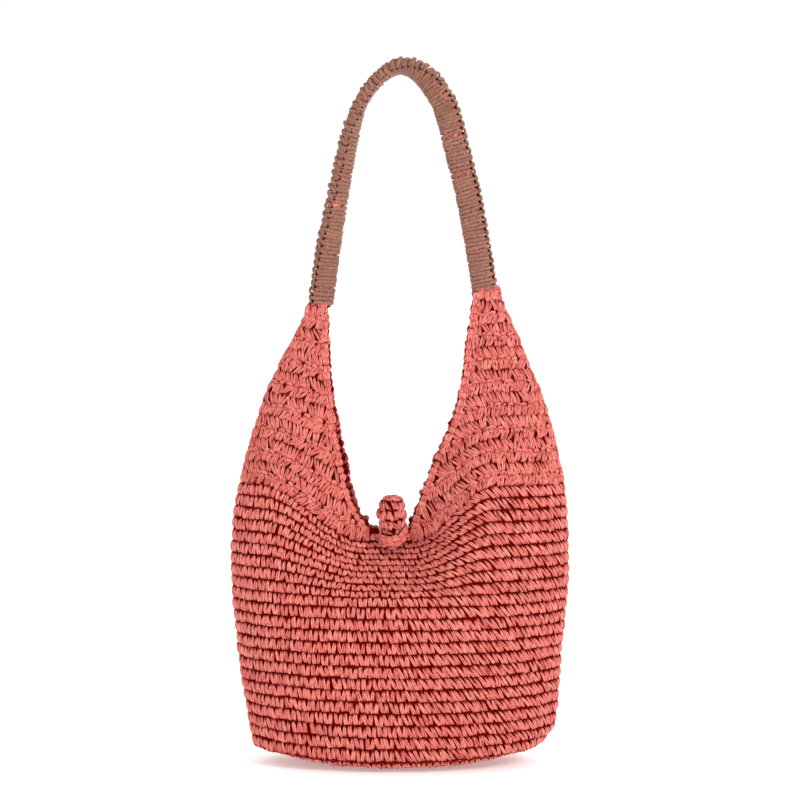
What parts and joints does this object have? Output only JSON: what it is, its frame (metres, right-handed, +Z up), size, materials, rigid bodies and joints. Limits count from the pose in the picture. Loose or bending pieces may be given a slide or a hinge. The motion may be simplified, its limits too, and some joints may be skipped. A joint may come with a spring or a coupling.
{
  "type": "hobo bag",
  "caption": "Bucket-shaped hobo bag crocheted in coral straw yarn, two tapering wings meeting one cord-wrapped shoulder strap, mouth drawn together by a knob button and loop.",
  "frame": {"origin": "middle of the base on the surface that the bag stands on", "axes": "+Z up, -Y out of the front where the button is, +X to the right seen from the front"},
  "size_m": [0.3118, 0.156, 0.6413],
  "materials": {
    "straw": "coral paper-straw yarn, dull with a slight sheen along the fibres",
    "cord": "matt brown flat cord, closely wound",
    "lining": "plain woven cotton",
    "stuffing": "loose fibre filling",
    "zip_tape": "woven twill tape",
    "zip_metal": "satin pale brass",
    "label": "blank satin ribbon"
  },
  "bodies": {
    "bag": {"base_panel": "straw", "body_wall": "straw", "wing_left": "straw", "wing_right": "straw", "edging_front": "straw", "edging_back": "straw", "strap_root_left": "straw", "strap_root_right": "straw", "button_shank": "straw", "loop_tether": "straw", "lining_wall": "lining", "lining_base": "lining", "lining_hem": "lining", "pocket_panel": "lining", "pocket_bag": "lining", "zip_tape_upper": "zip_tape", "zip_tape_lower": "zip_tape", "zip_teeth_upper": "zip_metal", "zip_teeth_lower": "zip_metal", "zip_stop_start": "zip_metal", "zip_stop_end": "zip_metal", "care_label": "label"},
    "strap": {"strap_core": "straw", "strap_wrap": "cord", "strap_lacing": "cord"},
    "button": {"button_shell": "straw", "button_stuffing": "stuffing"},
    "loop": {"closure_loop": "straw"},
    "zip_slider": {"zip_slider": "zip_metal"},
    "zip_puller": {"zip_puller": "zip_metal"}
  },
  "joints": [
    {"name": "strap_swing", "type": "hinge", "parent": "bag", "child": "strap", "pos_m": [0.00325, 0, 0.4135], "axis": [0.9983, 0, 0.0581], "range_deg": [-100, 100]},
    {"name": "button_tilt", "type": "hinge", "parent": "bag", "child": "button", "pos_m": [-0.007, -0.018, 0.205], "axis": [1, 0, 0], "range_deg": [0, 22]},
    {"name": "loop_lift", "type": "slide", "parent": "bag", "child": "loop", "axis": [0, 0, 1], "range_m": [0, 0.046]},
    {"name": "zip_slide", "type": "slide", "parent": "bag", "child": "zip_slider", "axis": [1, 0, 0], "range_m": [-0.078, 0]},
    {"name": "zip_pull", "type": "hinge", "parent": "zip_slider", "child": "zip_puller", "pos_m": [0.039, 0.0571, 0.12], "axis": [0, 0, 1], "range_deg": [0, 165]}
  ]
}
